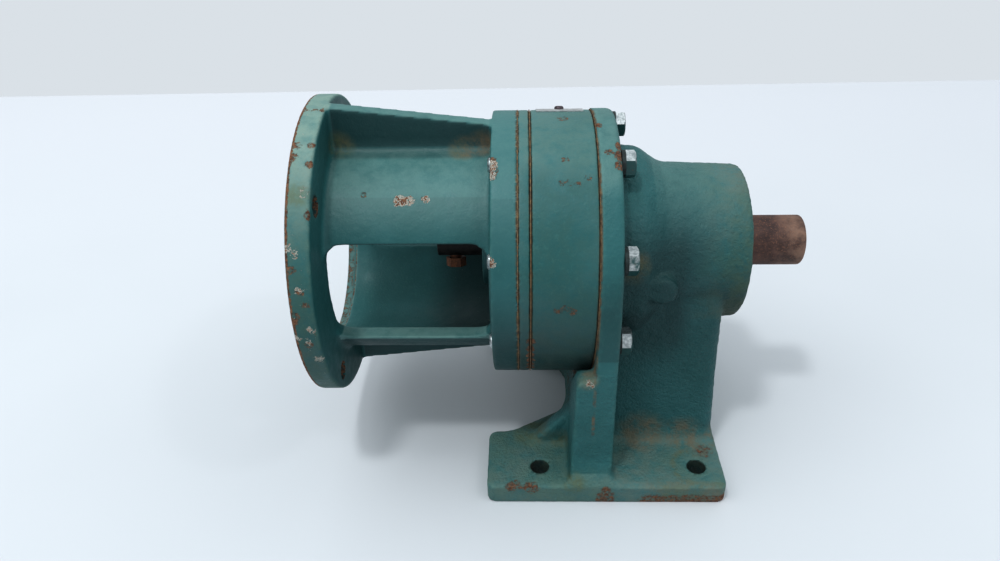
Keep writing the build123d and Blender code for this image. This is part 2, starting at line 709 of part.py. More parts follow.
for label, seat_radius, sizes in (("rear_output_bearing", r_output_rear_seat, rear_bearing),
                                  ("front_output_bearing", r_output_seat, front_bearing),
                                  ("input_bearing", r_input_seat, input_bearing),
                                  ("pilot_bearing", r_pilot_seat, pilot_bearing)):
    inner, outer, balls = ball_bearing(seat_radius, *sizes)
    save(inner, label + "_inner")
    save(outer, label + "_outer")
    save(balls, label + "_balls")


# ---- shaft seals ------------------------------------------------------------
def shaft_seal(r_shaft, x0, x1, r_bore):
    """Rubber-covered seal, open behind, with a lip beside the shaft; x1 is its outer face."""
    way = 1 if x1 > x0 else -1
    lip = r_shaft + mesh_clearance
    web = x1 - way * 2.2
    return turned([(x0, r_bore), (x1, r_bore), (x1, r_shaft + 2.2), (x1 - way * 1.2, lip),
                   (x0 + way * 1.6, lip), (x0 + way * 1.0, r_shaft + 2.0), (web, r_shaft + 3.6),
                   (web, r_bore - 1.8), (x0, r_bore - 1.8)])


save(shaft_seal(r_output_seat, *output_seal), "output_seal")
save(shaft_seal(r_input, *input_seal), "input_seal")

# ---- output bearing spacer, input bearing retaining ring, disc thrust washer -
save(tube(rear_end + 0.4, front_bearing[0] - 0.4, r_output_rear_seat, 22.0), "bearing_spacer")
save(tube(input_bearing[0] - 1.6, input_bearing[0] - 0.3, 15.0, input_bearing[2]), "input_bearing_ring")
save(tube(x_thrust_washer + 0.1, x_disc_a - 0.3, r_input, 14.0), "disc_thrust_washer")
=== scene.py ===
"""Looks of the foot-mounted inline gear reducer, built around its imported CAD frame. Metres."""
from functools import reduce
import json
import math

import bpy
import numpy as np
from mathutils import Matrix, Vector


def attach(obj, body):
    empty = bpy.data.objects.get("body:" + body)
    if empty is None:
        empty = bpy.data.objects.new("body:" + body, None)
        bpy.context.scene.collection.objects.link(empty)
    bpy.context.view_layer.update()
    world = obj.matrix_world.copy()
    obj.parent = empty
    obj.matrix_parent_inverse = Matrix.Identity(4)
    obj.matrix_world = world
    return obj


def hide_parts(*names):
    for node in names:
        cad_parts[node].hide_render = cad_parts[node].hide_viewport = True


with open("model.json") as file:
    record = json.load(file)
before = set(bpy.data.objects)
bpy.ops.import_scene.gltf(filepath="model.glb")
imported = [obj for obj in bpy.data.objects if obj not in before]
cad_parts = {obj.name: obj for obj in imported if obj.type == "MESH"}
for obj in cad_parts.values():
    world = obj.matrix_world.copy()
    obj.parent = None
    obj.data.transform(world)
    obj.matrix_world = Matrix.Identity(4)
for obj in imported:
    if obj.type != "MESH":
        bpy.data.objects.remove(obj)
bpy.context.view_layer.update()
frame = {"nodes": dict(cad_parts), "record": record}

scene = bpy.context.scene
nodes_by_name = frame["nodes"]
MM = 0.001
AXIS_Z = 120.0               # shaft centre line above the floor, mm


# ---- camera -----------------------------------------------------------------
FOCAL = 28.45                # mm, on a 36 mm wide sensor
CAMERA_PLACE = (-0.05504, -0.39305, 0.3602)
YAW, PITCH, ROLL = -0.033, 0.598, -0.023

forward = Vector((math.sin(YAW) * math.cos(PITCH), math.cos(YAW) * math.cos(PITCH), -math.sin(PITCH)))
level = Vector((math.cos(YAW), -math.sin(YAW), 0.0))
upward = level.cross(forward)
right = math.cos(ROLL) * level + math.sin(ROLL) * upward
top = -math.sin(ROLL) * level + math.cos(ROLL) * upward
camera_data = bpy.data.cameras.new("camera")
camera_data.lens = FOCAL
camera_data.sensor_width = 36.0
camera_data.clip_start, camera_data.clip_end = 0.02, 30.0
camera = bpy.data.objects.new("camera", camera_data)
axes = Matrix((right, top, -forward)).transposed().to_4x4()
camera.matrix_world = Matrix.Translation(CAMERA_PLACE) @ axes
scene.collection.objects.link(camera)
scene.camera = camera
scene.view_settings.view_transform = "Standard"
scene.view_settings.look = "None"
scene.view_settings.gamma = 0.80


# ---- shader building blocks -------------------------------------------------
def put(tree, kind, values=(), **settings):
    """Adds a node. values maps an input's name or index to a constant or to another node's output."""
    made = tree.nodes.new(kind)
    for key, value in settings.items():
        setattr(made, key, value)
    for key, value in dict(values).items():
        if isinstance(value, bpy.types.NodeSocket):
            tree.links.new(value, made.inputs[key])
        else:
            made.inputs[key].default_value = value
    return made


def calc(tree, operation, a, b=0.0, clamp=False):
    return put(tree, "ShaderNodeMath", {0: a, 1: b}, operation=operation, use_clamp=clamp).outputs[0]


def times(tree, a, b):
    """The product, held between 0 and 1."""
    return calc(tree, "MULTIPLY", a, b, clamp=True)


def blend(tree, share, *tones):
    """Goes from the first tone to the second as share goes from 0 to 1. A tone is (r, g, b) or an output."""
    a, b = [tone if isinstance(tone, bpy.types.NodeSocket) else (*tone, 1.0) for tone in tones]
    return put(tree, "ShaderNodeMix", {0: share, 6: a, 7: b}, data_type="RGBA").outputs[2]


def span(tree, value, low, high, to_low=0.0, to_high=1.0):
    """Smooth ramp from to_low at low to to_high at high, held beyond both ends."""
    made = put(tree, "ShaderNodeMapRange", {0: value, 1: low, 2: high, 3: to_low, 4: to_high},
               interpolation_type="SMOOTHSTEP")
    return made.outputs[0]


def noise(tree, place, scale, detail=3.0, roughness=0.5, distortion=0.0):
    made = put(tree, "ShaderNodeTexNoise", {"Vector": place, "Scale": scale, "Detail": detail,
                                            "Roughness": roughness, "Distortion": distortion})
    return made.outputs[0]


def split(tree, vector):
    """The X, Y and Z outputs of a vector."""
    return put(tree, "ShaderNodeSeparateXYZ", {0: vector}).outputs


def new_material(name):
    """Makes a Principled material. Returns it, its tree, the shader and the place on the piece."""
    material = bpy.data.materials.new(name)
    material.use_nodes = True
    tree = material.node_tree
    shader = tree.nodes["Principled BSDF"]
    place = tree.nodes.new("ShaderNodeTexCoord").outputs["Object"]
    return material, tree, shader, place


def attribute(tree, name):
    return put(tree, "ShaderNodeAttribute", attribute_name=name).outputs["Fac"]


def relief(tree, height, depth, **below):
    """A bump of height times depth, in metres, on top of the one below it."""
    values = {"Height": height, "Distance": depth, "Strength": 1.0}
    values.update(below)
    return put(tree, "ShaderNodeBump", values).outputs[0]


# ---- paint ------------------------------------------------------------------
JOINT_LINES = (-56.95, -50.45, -16.25)       # stations of the three gasketed joints, mm
GRAIN_DEPTH = 0.00075                        # of the cast texture under the paint
PEEL_DEPTH = 0.00005
CHIP_DEPTH = 0.00018

ENAMEL = (0.021, 0.116, 0.118), (0.036, 0.154, 0.160)
FADED_SPECK = (0.065, 0.200, 0.185)
WORN_EDGE = (0.14, 0.31, 0.27)
LIT_AND_PALE_TONE = (0.225, 0.360, 0.330)
SHADE_TONE = (0.006, 0.021, 0.023)
HOLLOW_SHADE_TONE = (0.026, 0.044, 0.036)
DIRT = (0.125, 0.145, 0.070), (0.200, 0.140, 0.080)
RUST = (0.085, 0.040, 0.026), (0.23, 0.120, 0.066)
COMPOUND = (0.075, 0.048, 0.030), (0.19, 0.135, 0.078)
PRIMER = (0.46, 0.46, 0.41)


def paint_material(name):
    """Teal enamel over cast iron.

    Each vertex attribute runs from 0 to 1: edge and pit from the shape, with pit giving painted shade in
    hollows, seam beside the joints, one attribute of painted shade where a surface faces the floor, lies
    under a part or inside a bore, one mostly of painted light where a face looks up, and cast, dusty, rusty
    and bare from each casting's marks.
    """
    material, tree, shader, place = new_material(name)
    broad = noise(tree, place, 22.0, 3.0, 0.55)
    middle = noise(tree, place, 140.0, 5.0, 0.65)
    fine = noise(tree, place, 700.0, 4.0, 0.6)
    speck = noise(tree, place, 420.0, 6.0, 0.75, 0.6)
    edge = attribute(tree, "edge")

    # enamel: cloudy tone, paler where worn; painted light makes faces that look up paler; painted shade
    # darkens faces below and under parts and makes hollows darker and browner
    colour = blend(tree, span(tree, broad, 0.3, 0.7), *ENAMEL)
    mottle = times(tree, span(tree, speck, 0.5, 0.72), 0.35)
    colour = blend(tree, mottle, colour, FADED_SPECK)
    worn = times(tree, span(tree, edge, 0.15, 0.9), span(tree, middle, 0.35, 0.7))
    colour = blend(tree, times(tree, worn, 0.50), colour, WORN_EDGE)
    # mostly painted light, with some paler paint: the enamel turns pale green on faces that look up and on
    # lit rims
    lit_and_pale_share = times(tree, attribute(tree, "pale"), span(tree, middle, 0.25, 0.65, 0.45, 1.0))
    colour = blend(tree, lit_and_pale_share, colour, LIT_AND_PALE_TONE)
    # painted shade: faces that turn from the light, lie under parts or sit inside bores go towards a
    # near-black teal
    shade_share = times(tree, attribute(tree, "down"), span(tree, broad, 0.2, 0.7, 0.75, 1.0))
    colour = blend(tree, times(tree, shade_share, 0.84), colour, SHADE_TONE)
    # painted shade in hollows: concave places go darker, towards a dark grey-green
    hollow_shade_share = times(tree, span(tree, attribute(tree, "pit"), 0.1, 0.9), span(tree, middle, 0.3, 0.6))
    colour = blend(tree, times(tree, hollow_shade_share, 0.6), colour, HOLLOW_SHADE_TONE)
    patchy = span(tree, calc(tree, "ADD", middle, calc(tree, "MULTIPLY", fine, 0.35)), 0.40, 0.85)
    dust = times(tree, attribute(tree, "dusty"), patchy)
    dirt = blend(tree, span(tree, broad, 0.40, 0.60), *DIRT)
    colour = blend(tree, times(tree, dust, 0.72), colour, dirt)

    # rust on worn spots
    want = calc(tree, "ADD", attribute(tree, "rusty"), calc(tree, "MULTIPLY", edge, 0.20))
    rust = span(tree, calc(tree, "ADD", want, speck), 1.00, 1.17)
    rust_tone = blend(tree, span(tree, fine, 0.35, 0.65), *RUST)
    colour = blend(tree, rust, colour, rust_tone)

    # stained joint compound that creeps out of the joints
    x_mm = calc(tree, "MULTIPLY", split(tree, place)[0], 1000.0)
    line = None
    for station in JOINT_LINES:
        away = calc(tree, "ABSOLUTE", calc(tree, "SUBTRACT", x_mm, station))
        beside = span(tree, away, 0.5, 1.3, 1.0, 0.0)
        line = beside if line is None else calc(tree, "MAXIMUM", line, beside)
    line = times(tree, line, attribute(tree, "seam"))
    seep = times(tree, line, span(tree, noise(tree, place, 95.0, 5.0, 0.7), 0.40, 0.58))
    compound = blend(tree, span(tree, middle, 0.35, 0.65), *COMPOUND)
    colour = blend(tree, times(tree, seep, 0.85), colour, compound)

    # chips down to pale primer, rusty in their middle
    flaked = calc(tree, "ADD", attribute(tree, "bare"), noise(tree, place, 520.0, 4.0, 0.7, 0.8))
    chips = span(tree, flaked, 1.05, 1.10)
    colour = blend(tree, chips, colour, PRIMER)
    colour = blend(tree, span(tree, flaked, 1.12, 1.17), colour, rust_tone)
    tree.links.new(colour, shader.inputs["Base Color"])

    gloss = span(tree, middle, 0.25, 0.75, 0.40, 0.58)
    dull = calc(tree, "MAXIMUM", rust, calc(tree, "MAXIMUM", times(tree, dust, 0.8), chips), clamp=True)
    mix = put(tree, "ShaderNodeMix", {0: dull, 2: gloss, 3: 0.85}, data_type="FLOAT")
    tree.links.new(mix.outputs[0], shader.inputs["Roughness"])
    shader.inputs["Specular IOR Level"].default_value = 0.38

    # cast grain under the paint, orange peel on it, and the step at a chip
    lumps = calc(tree, "MULTIPLY", calc(tree, "ADD", noise(tree, place, 330.0, 4.0, 0.6), fine),
                 calc(tree, "ADD", attribute(tree, "cast"), 0.10))
    grain = relief(tree, lumps, GRAIN_DEPTH)
    peel = relief(tree, noise(tree, place, 900.0, 2.0), PEEL_DEPTH, Normal=grain)
    loss = calc(tree, "MULTIPLY", calc(tree, "MAXIMUM", rust, chips), -1.0)
    tree.links.new(relief(tree, loss, CHIP_DEPTH, Normal=peel), shader.inputs["Normal"])
    return material


# ---- metals and rubber ------------------------------------------------------
def metal_material(name, low, high, roughness, scale=300.0, depth=0.00004, metallic=1.0):
    """Metal, or another even material, with a cloudy tone, uneven gloss and a fine surface."""
    material, tree, shader, place = new_material(name)
    cloud = noise(tree, place, scale, 5.0, 0.65)
    gloss = span(tree, cloud, 0.3, 0.7, roughness * 0.8, roughness * 1.25)
    surface = relief(tree, noise(tree, place, scale * 3.0, 4.0, 0.6), depth)
    tree.links.new(blend(tree, span(tree, cloud, 0.35, 0.65), low, high), shader.inputs["Base Color"])
    tree.links.new(gloss, shader.inputs["Roughness"])
    tree.links.new(surface, shader.inputs["Normal"])
    shader.inputs["Metallic"].default_value = metallic
    return material


def shaft_material():
    """Bare shaft steel under an even brown rust, thinner and paler towards its end."""
    material, tree, shader, place = new_material("rusted_shaft")
    broad = noise(tree, place, 90.0, 5.0, 0.7)
    fine = noise(tree, place, 900.0, 5.0, 0.7)
    colour = blend(tree, span(tree, broad, 0.35, 0.65), (0.060, 0.036, 0.034), (0.140, 0.078, 0.063))
    colour = blend(tree, span(tree, fine, 0.5, 0.7), colour, (0.24, 0.125, 0.085))
    near_end = span(tree, split(tree, place)[0], 0.085, 0.102)
    rubbed = times(tree, near_end, span(tree, broad, 0.3, 0.7))
    colour = blend(tree, times(tree, rubbed, 0.6), colour, (0.33, 0.22, 0.16))
    tree.links.new(colour, shader.inputs["Base Color"])
    tree.links.new(span(tree, fine, 0.3, 0.7, 0.5, 0.75), shader.inputs["Roughness"])
    tree.links.new(relief(tree, calc(tree, "ADD", fine, broad), 0.00012), shader.inputs["Normal"])
    shader.inputs["Metallic"].default_value = 0.25
    return material


def bolt_material():
    """Zinc plate; on the heads, dark teal on faces that turn from up, partly overpaint and partly painted
    shade.
    """
    material, tree, shader, place = new_material("zinc_overpaint_and_shade")
    rise = split(tree, tree.nodes.new("ShaderNodeNewGeometry").outputs["Normal"])[2]
    cloud = noise(tree, place, 260.0, 5.0, 0.7, 0.5)
    bloom = span(tree, noise(tree, place, 500.0, 4.0, 0.6), 0.35, 0.65)
    zinc = blend(tree, bloom, (0.30, 0.34, 0.35), (0.56, 0.60, 0.61))
    # partly overpaint, partly painted shade: head faces that turn from up go dark teal
    lean = calc(tree, "ADD", calc(tree, "MULTIPLY", cloud, 0.5), calc(tree, "MULTIPLY", rise, -0.45))
    head = span(tree, split(tree, place)[0], -0.010, -0.004)
    overpaint_and_shade = times(tree, span(tree, lean, 0.02, 0.16), head)
    colour = blend(tree, overpaint_and_shade, zinc, (0.016, 0.072, 0.072))
    rust = span(tree, noise(tree, place, 380.0, 6.0, 0.75), 0.62, 0.68)
    colour = blend(tree, times(tree, rust, 0.8), colour, (0.15, 0.06, 0.03))
    tree.links.new(colour, shader.inputs["Base Color"])
    tree.links.new(span(tree, overpaint_and_shade, 0.0, 1.0, 0.9, 0.0), shader.inputs["Metallic"])
    tree.links.new(span(tree, cloud, 0.3, 0.7, 0.28, 0.45), shader.inputs["Roughness"])
    tree.links.new(relief(tree, noise(tree, place, 800.0, 3.0), 0.00006), shader.inputs["Normal"])
    return material


cast_paint = paint_material("enamel_cast")
looks = {
    "gasket": metal_material("old_gasket", (0.095, 0.058, 0.036), (0.24, 0.165, 0.090), 0.85,
                             scale=400.0, depth=0.0001, metallic=0.0),
    "plate_aluminium": metal_material("etched_aluminium", (0.50, 0.52, 0.53), (0.68, 0.70, 0.70), 0.34),
    "bearing_steel": metal_material("ground_steel", (0.52, 0.53, 0.54), (0.66, 0.66, 0.66), 0.20),
    "seal_rubber": metal_material("seal_rubber", (0.012, 0.012, 0.012), (0.035, 0.033, 0.030), 0.55,
                                  metallic=0.0),
    "spring_steel": metal_material("dark_spring_steel", (0.10, 0.10, 0.10), (0.20, 0.20, 0.19), 0.38),
    "rusty_steel": shaft_material(),
    "black_steel": metal_material("blackened_steel", (0.010, 0.010, 0.011), (0.032, 0.030, 0.028), 0.55,
                                  metallic=0.6),
    "key_steel": metal_material("key_steel", (0.30, 0.29, 0.28), (0.45, 0.44, 0.42), 0.35),
    "rusty_screw": metal_material("rusted_screw", (0.09, 0.034, 0.018), (0.24, 0.105, 0.055), 0.8,
                                  scale=500.0, depth=0.0002, metallic=0.1),
    "cage_brass": metal_material("cage_brass", (0.55, 0.38, 0.12), (0.68, 0.50, 0.20), 0.3),
    "zinc_plate": bolt_material(),
}
own_looks = {
    "spring_washers": metal_material("grimy_washer", (0.012, 0.020, 0.020), (0.035, 0.055, 0.055), 0.6,
                                     metallic=0.2),
    "nameplate_screws": metal_material("tarnished_screw", (0.05, 0.04, 0.05), (0.14, 0.11, 0.12), 0.45,
                                       metallic=0.7),
}
for part in frame["record"]["subparts"]:
    if part["material_slot"] in looks:
        for material_slot in nodes_by_name[part["node"]].material_slots:
            material_slot.link = "OBJECT"
            material_slot.material = own_looks.get(part["node"], looks[part["material_slot"]])


# ---- painted castings -------------------------------------------------------
# Places and sizes from here to the floor are in mm, and r is the distance from the shaft line.
def fade(value, start, end, most=1.0):
    """0 up to start, most from end on, straight between them. start may be above end."""
    return most * np.clip((value - start) / (end - start), 0.0, 1.0)


def strongest(*layers):
    """The largest of the layers at each point."""
    return reduce(np.maximum, layers)


def relax(values, pairs, rounds):
    """Moves each row of values half way to its neighbours' mean, as often as its entry in rounds says."""
    values = values.reshape(len(values), -1).copy()
    count = np.bincount(pairs.ravel(), minlength=len(values))[:, None]
    for step in range(int(np.max(rounds))):
        total = np.zeros_like(values)
        for axis in range(values.shape[1]):
            column = values[:, axis]
            total[:, axis] = (np.bincount(pairs[:, 0], column[pairs[:, 1]], len(column))
                              + np.bincount(pairs[:, 1], column[pairs[:, 0]], len(column)))
        share = np.where(np.asarray(rounds) > step, 0.5, 0.0)
        values += (total / count - values) * np.broadcast_to(share, (len(values),))[:, None]
    return values


def ripple(points, wavelength, seed, waves=20):
    """Smooth unit noise, the sum of plane waves in random directions."""
    draw = np.random.default_rng(seed)
    way = draw.normal(size=(waves, 3))
    way *= 2 * math.pi / wavelength / np.linalg.norm(way, axis=1)[:, None]
    phase = draw.uniform(0, 2 * math.pi, waves)
    return np.sin(points @ way.T + phase).sum(axis=1) / math.sqrt(waves / 2)


def near(points, spots):
    """1 over the inner half of each spot (x, y, z, radius), falling to 0 at its radius."""
    found = np.zeros(len(points))
    for x, y, z, radius in spots:
        away = np.linalg.norm(points - (x, y, z), axis=1)
        found = np.maximum(found, fade(away, radius, radius / 2))
    return found


def near_skin(points, r, places):
    """near, for spots on a turned face of radius r, each (station x, degrees from -Y over the top, size)."""
    spots = []
    for x, degrees, size in places:
        turn = math.radians(degrees)
        spots.append((x, -r * math.cos(turn), AXIS_Z + r * math.sin(turn), size))
    return near(points, spots)


def in_bores(a, b, centres, radius):
    """Whether each point is inside one of the round holes, whose centres lie in the plane of a and b."""
    return strongest(*[np.hypot(a - centre[0], b - centre[1]) < radius for centre in centres])


def sharpen(points, rims, reach):
    """Moves every point closer than reach to a round rim (centre, axis, radius) onto that rim."""
    for centre, axis, radius in rims:
        axis = np.asarray(axis, dtype=float)
        along = (points - centre) @ axis
        spoke = points - centre - along[:, None] * axis
        r = np.maximum(np.linalg.norm(spoke, axis=1), 1e-6)
        close = np.hypot(along, r - radius) < reach
        points[close] = (centre + spoke / r[:, None] * radius)[close]


def remeshed(node, voxel):
    """An even mesh of a CAD node's shape, with its points in mm and its edges as pairs of points."""
    rough = bpy.data.objects.new(node + "_rough", nodes_by_name[node].data.copy())
    scene.collection.objects.link(rough)
    remesh = rough.modifiers.new("remesh", "REMESH")
    remesh.mode = "VOXEL"
    remesh.voxel_size = voxel * MM
    evaluated = rough.evaluated_get(bpy.context.evaluated_depsgraph_get())
    mesh = bpy.data.meshes.new_from_object(evaluated)
    bpy.data.objects.remove(rough)
    points = np.empty(len(mesh.vertices) * 3)
    mesh.vertices.foreach_get("co", points)
    pairs = np.empty(len(mesh.edges) * 2, dtype=np.int64)
    mesh.edges.foreach_get("vertices", pairs)
    return mesh, points.reshape(-1, 3) / MM, pairs.reshape(-1, 2)


def place_points(mesh, points):
    """Moves the mesh's points, given in mm, and returns their normals."""
    mesh.vertices.foreach_set("co", (points * MM).ravel())
    mesh.update()
    normals = np.empty(len(points) * 3)
    mesh.vertices.foreach_get("normal", normals)
    return normals.reshape(-1, 3)


def set_attribute(mesh, name, values):
    made = mesh.attributes.new(name, "FLOAT", "POINT")
    made.data.foreach_set("value", np.asarray(values, dtype=np.float32))


def casting(node, voxel, rounds, wobble, marks, rims, flare=None):
    """A soft-edged casting in place of a CAD node.

    rounds(x, y, z, r) gives the passes of smoothing by place, and wobble(x, y, z, r) the unevenness.
    marks(x, y, z, r, points, facing) gives the wear attributes and those of painted light and shade, where
    facing is the rise of the normal.
    rims lists the round edges that stay sharp. flare(x, y, z) moves points along Y before the smoothing.
    """
    mesh, points, pairs = remeshed(node, voxel)
    x, y, z = points.T
    if flare is not None:
        points[:, 1] += flare(x, y, z)
    points = relax(points, pairs, rounds(x, y, z, np.hypot(y, z - AXIS_Z)))
    x, y, z = points.T
    r = np.hypot(y, z - AXIS_Z)

    outward = place_points(mesh, points)
    pull = relax(points, pairs, np.ones(len(points))) - points
    bend = relax(-np.einsum("ij,ij->i", pull, outward) / voxel, pairs, np.full(len(points), 2)).ravel()
    height = ripple(points, 11.0, 3) * 0.35 + ripple(points, 5.0, 4) * 0.35 + ripple(points, 3.2, 5) * 0.3
    points = points + outward * (height * wobble(x, y, z, r))[:, None]
    sharpen(points, rims, 0.9 * voxel)
    place_points(mesh, points)

    set_attribute(mesh, "edge", np.clip(bend * 12.0, 0.0, 1.0))
    # pit marks concave places, which the paint darkens as painted shade
    set_attribute(mesh, "pit", np.clip(-bend * 12.0, 0.0, 1.0))
    set_attribute(mesh, "seam", (r > 70.0) & (x > -60.0) & (x < -13.0) & (z > 44.0))
    for name, values in marks(x, y, z, r, points, outward[:, 2]).items():
        set_attribute(mesh, name, values)
    mesh.shade_smooth()
    mesh.materials.clear()
    mesh.materials.append(cast_paint)
    piece = bpy.data.objects.new(node + "_casting", mesh)
    scene.collection.objects.link(piece)
    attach(piece, "housing")
    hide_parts(node)


def shade_below(facing):
    """Painted shade on what doesn't face up, growing as the face turns towards the floor."""
    return np.clip(0.55 - 1.5 * facing, 0.0, 1.0)


# ---- casing -----------------------------------------------------------------
ALONG_SHAFT, UPRIGHT = (1.0, 0.0, 0.0), (0.0, 0.0, 1.0)
FOOT_HOLES = [(side * 45.0, across * 75.0) for side in (-1, 1) for across in (-1, 1)]
R_FOOT_HOLE = 5.5
FOOT_TOP = 13.0
LEG_BACK = -3.0                      # just past the output side of the leg plate and joint flange
LEG_TOP = 92.0
R_CASING_FLANGE = 75.3

CASING_CORNERS = [(-49, -48, 14, 16), (-31, -54, 14, 11), (16, -50, 15, 19), (40, -50, 14, 16),
                  (58, -52, 13, 10), (48, -61, 13, 10), (-26, -88, 13, 9), (4, -57, 137, 12),
                  (-20, -74, 80, 8)]
FRONT_STAIN = [(-8.0, -90.0, 4.0, 10.0), (-8.0, -90.0, 10.0, 5.0)]
FOOT_RUST = [(-60.0, -89.0, 12.0, 8.0), (-50.0, -90.0, 11.5, 8.0), (52.0, -63.0, 13.0, 9.0)]
FLANGE_RUST = [(-5.0, 71.0, 5.0), (-5.2, 66.0, 6.0), (-6.0, 61.0, 5.0), (-11.0, 67.5, 4.0),
               (-14.5, 84.0, 4.0)]
LEG_SCUFFS = [(-19.0, -76.5, 77.5, 5.0), (-9.0, -76.0, 66.0, 3.0)]
LEDGE = [(-20.0, -74.0, 80.0, 7.0)]


def casing_rounds(x, y, z, r):
    rounds = np.full(len(x), 8)
    rounds[(x < LEG_BACK) & (r > 60.0) & (z > LEG_TOP)] = 3       # joint flange, machined
    rounds[(x > 55.0) & (r < 50.0) & (z > 70.0)] = 4              # end of the barrel
    rounds[(z < 22.0) & (z > FOOT_TOP - 1.0) & (x > -8.0)] = 22   # root of the pedestal
    rounds[z < FOOT_TOP - 1.0] = 3                                # edges of the feet
    rounds[(x < -18.0) & (z > 70.0)] = 3                          # ledge below the ring gear housing
    rounds[in_bores(x, y, FOOT_HOLES, 8.5) & (z < FOOT_TOP + 1.0)] = 1
    return rounds


def pedestal_flare(x, y, z):
    """Spreads the sides of the pedestal towards its root, by 6 mm where it meets the feet."""
    rise = fade(z, 80.0, FOOT_TOP) ** 2 * fade(z, FOOT_TOP - 2.0, FOOT_TOP - 1.0)
    inward = fade(np.abs(y), 67.0, 47.0) * (np.abs(y) > 30.0)
    return 6.0 * np.sign(y) * rise * inward * fade(x, -6.0, -2.0)


def casing_wobble(x, y, z, r):
    machined = (z < 1.5) | (r < 40.0) | ((x < LEG_BACK) & (r > 70.0) & (z > 60.0))
    rough = np.where((x > LEG_BACK) & (r < 60.0), 0.17, 0.11)
    return np.where(machined, 0.02, rough)


def casing_marks(x, y, z, r, points, facing):
    cast = np.where((x > -3.5) | (z < 84.0), 1.0, 0.25)
    front = y < -86.0
    foot = z < FOOT_TOP + 3.0
    leg = (x < LEG_BACK) & (z < LEG_TOP)
    barrel = (x > 5.0) & (r < 50.0) & (z > 70.0)
    in_hole = in_bores(x, y, FOOT_HOLES, R_FOOT_HOLE + 0.4) & (z < FOOT_TOP - 0.8)

    # painted shade: darker over the lower part of the casing body, on faces that turn from the light and
    # inside the foot holes, weaker on the feet and leg
    under = fade(z, 166.0, 138.8, 0.85) * np.maximum(fade(x, 55.0, 30.0), 0.1)
    under *= (x > LEG_BACK) * fade(z, 45.0, 80.0)
    down = strongest(strongest(shade_below(facing), under) * np.where(foot | leg, 0.15, 1.0), in_hole)

    hole_x, hole_y = FOOT_HOLES[2]
    from_washer = np.abs(np.hypot(x - hole_x, y - hole_y) - 13.0)
    dusty = strongest(
        fade(z, 24.0, 13.2, 0.36),
        near(points, CASING_CORNERS) * 0.9,
        fade(from_washer, 3.6, 0.75, 0.95) * foot * (facing > 0.8) * (x < 50.0),
        fade(x, 35.0, 65.0, 0.5) * barrel,
        fade(x, -5.0, 25.0, 0.75) * front,
    )
    band = fade(z, 12.0, 5.0) * fade(x, 2.0, 14.0)
    web = (x < -22.0) & (np.abs(y) < 46.0) & (z > 18.0) & (z < 84.0)
    rusty = strongest(
        in_hole * 0.4,
        strongest(band * 0.61, fade(z, 3.0, 1.6, 0.35)) * front,
        near(points, FRONT_STAIN) * 0.60,
        near(points, FOOT_RUST) * 0.56,
        near_skin(points, R_CASING_FLANGE, FLANGE_RUST) * 0.60,
        web * 0.5,
    )
    bare = strongest(
        near(points, LEG_SCUFFS) * 0.62,
        (front & (z > 10.0)) * 0.32,
        (facing > 0.9) * foot * 0.30,
    )
    # mostly painted light: the top of the joint flange rim and the faces of the barrel and feet that look up
    # paler; the ledge and the front of the base paler too
    pale = strongest(
        fade(r, 73.5, 75.0) * (x < LEG_BACK) * fade(z, 175.0, 182.0, 0.35),
        near(points, LEDGE) * 0.5,
        fade(facing, 0.5, 0.95, 0.27) * (barrel | foot),
        front * 0.32,
    )
    return {"cast": cast, "down": down, "dusty": dusty, "rusty": rusty, "bare": bare, "pale": pale}


casing_rims = [((x, y, z), UPRIGHT, R_FOOT_HOLE) for x, y in FOOT_HOLES for z in (0.0, FOOT_TOP)]
casing_rims += [((-16.0, 0.0, AXIS_Z), ALONG_SHAFT, R_CASING_FLANGE)]
casting("casing", 1.25, casing_rounds, casing_wobble, casing_marks, casing_rims, pedestal_flare)


# ---- motor adapter ----------------------------------------------------------
X_FACE = -169.2
X_FLANGE_BACK = -155.0               # just past the back of the motor flange
X_REAR_FLANGE = -72.0
X_ADAPTER_END = -57.2
R_FLANGE = 84.6
R_PILOT = 57.15
R_BORE = 52.0
R_BARREL = 60.2
R_RING = 74.5                        # rear flange, and the rings bolted to it
R_MOTOR_BOLT_CIRCLE, R_MOTOR_BOLT_HOLE = 74.6, 5.5
MOTOR_BOLTS = [(R_MOTOR_BOLT_CIRCLE * math.cos(math.radians(turn)),
                AXIS_Z + R_MOTOR_BOLT_CIRCLE * math.sin(math.radians(turn)))
               for turn in (45.0, 135.0, 225.0, 315.0)]

RIM_STAINS = [(station, 85.5, 3.0) for station in (-167.0, -164.0, -161.0, -158.0)]
RIM_STAINS += [(-165.3, 66.0, 4.0), (-158.8, 66.0, 3.6), (-158.4, 58.0, 3.6), (-167.8, 61.0, 6.0),
               (-165.4, 22.4, 4.0), (-157.2, 40.0, 4.0), (-162.8, 15.0, 4.4), (-160.5, 10.0, 3.6),
               (-162.3, -6.3, 4.4), (-168.0, 5.0, 7.0)]
RIM_FLAKES = [(-164.0, 27.7, 4.5), (-167.3, 29.3, 4.0), (-159.7, 0.5, 4.5), (-162.3, -5.0, 4.0),
              (-167.7, -3.4, 4.0), (-160.0, 47.4, 4.0), (-163.0, 15.5, 3.6), (-159.0, -14.0, 5.0)]
RIM_DUST = [(-163.0, 47.0, 9.0)]
BARREL_RUST = [(-136.0, 55.0, 3.2), (-114.9, 51.7, 4.0), (-104.7, 52.6, 3.0)]
BARREL_CHIPS = [(-117.0, 51.7, 6.0), (-112.0, 51.7, 5.0), (-103.8, 52.4, 4.0)]
REAR_RUST = [(-69.5, 64.5, 4.0), (-69.0, 60.0, 5.0), (-69.0, 57.0, 4.0)]
REAR_CHIPS = [(-70.0, 62.0, 6.0), (-70.0, 57.5, 5.0), (-70.0, 23.2, 5.0)]
